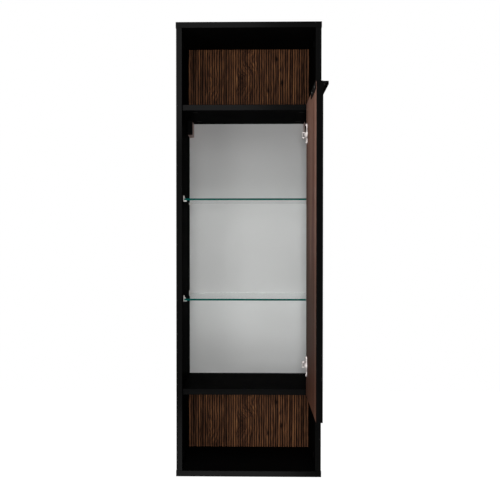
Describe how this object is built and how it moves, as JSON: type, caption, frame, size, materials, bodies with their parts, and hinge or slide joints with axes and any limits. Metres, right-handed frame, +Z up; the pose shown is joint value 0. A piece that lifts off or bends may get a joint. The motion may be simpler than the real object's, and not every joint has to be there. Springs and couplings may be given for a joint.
{
  "type": "hanging wall cabinet",
  "caption": "Tall black hanging wall cabinet with ribbed walnut open niches, an inset walnut door on cup hinges, glass shelves on clips, an edge pull and wall hangers.",
  "frame": {"origin": "middle of the top board's rear edge, on the wall plane", "axes": "+Z up; the front with its door faces -Y and the wall is at +Y; +X is the hinge side, to the right seen from the front"},
  "size_m": [0.4, 0.688, 1.25],
  "materials": {
    "black_laminate": "black fine-grained melamine on chipboard",
    "walnut": "walnut foil on board, satin",
    "white_hardboard": "white painted hardboard",
    "glass": "clear float glass with ground green edges",
    "clip_plastic": "milky moulded plastic",
    "black_edging": "black plastic edge band",
    "black_handle": "matt black powder-coated aluminium",
    "hinge_steel": "nickel-plated pressed steel",
    "plate_steel": "nickel-plated steel",
    "screw_steel": "zinc-plated steel",
    "zinc": "cast zinc, dull",
    "beech": "plain beech",
    "black_cap": "black moulded plastic",
    "hanger_plastic": "dark moulded plastic",
    "hook_steel": "zinc-plated steel strip"
  },
  "bodies": {
    "carcass": {"top_board": "black_laminate", "bottom_board": "black_laminate", "side_left": "black_laminate", "side_right": "black_laminate", "lower_shelf": "black_laminate", "upper_shelf": "black_laminate", "ribbed_panel_lower": "walnut", "ribbed_panel_upper": "walnut", "back_panel": "white_hardboard", "cams_ends": "zinc", "cams_shelves": "zinc", "cam_bolts": "screw_steel", "cam_caps": "black_cap", "dowels": "beech", "glass_shelf_lower": "glass", "glass_shelf_upper": "glass", "shelf_clips_lower": "clip_plastic", "shelf_clips_upper": "clip_plastic", "hinge_arm_lower": "hinge_steel", "hinge_arm_upper": "hinge_steel", "hinge_plate_lower": "plate_steel", "hinge_plate_upper": "plate_steel", "arm_pins": "hinge_steel", "plate_screws": "screw_steel", "arm_screws": "screw_steel", "hanger_covers": "black_cap", "hanger_left": "hanger_plastic", "hanger_right": "hanger_plastic", "hanger_screws": "screw_steel", "hanger_adjusters": "screw_steel"},
    "hinge_links": {"hinge_link_lower": "hinge_steel", "hinge_link_upper": "hinge_steel"},
    "door": {"door_panel": "walnut", "door_edging": "black_edging", "door_handle": "black_handle", "handle_screws": "screw_steel", "hinge_cup_lower": "hinge_steel", "hinge_cup_upper": "hinge_steel", "cup_pins": "hinge_steel", "cup_screws": "screw_steel"},
    "hook_left": {"hook_left": "hook_steel"},
    "hook_right": {"hook_right": "hook_steel"}
  },
  "joints": [
    {"name": "link_swing", "type": "hinge", "parent": "carcass", "child": "hinge_links", "pos_m": [0.15262, -0.31762, -0.617], "axis": [0, 0, 1], "range_deg": [-0.7, 14.1]},
    {"name": "door_swing", "type": "hinge", "parent": "hinge_links", "child": "door", "pos_m": [0.167, -0.336, -0.617], "axis": [0, 0, 1], "range_deg": [-103.92, 4.62]},
    {"name": "hook_lift_left", "type": "slide", "parent": "carcass", "child": "hook_left", "axis": [0, 0, 1], "range_m": [-0.006, 0.006]},
    {"name": "hook_lift_right", "type": "slide", "parent": "carcass", "child": "hook_right", "axis": [0, 0, 1], "range_m": [-0.006, 0.006]}
  ],
  "couplings": [
    {"joint": "link_swing", "follows": "door_swing", "ratio": -0.13394}
  ]
}
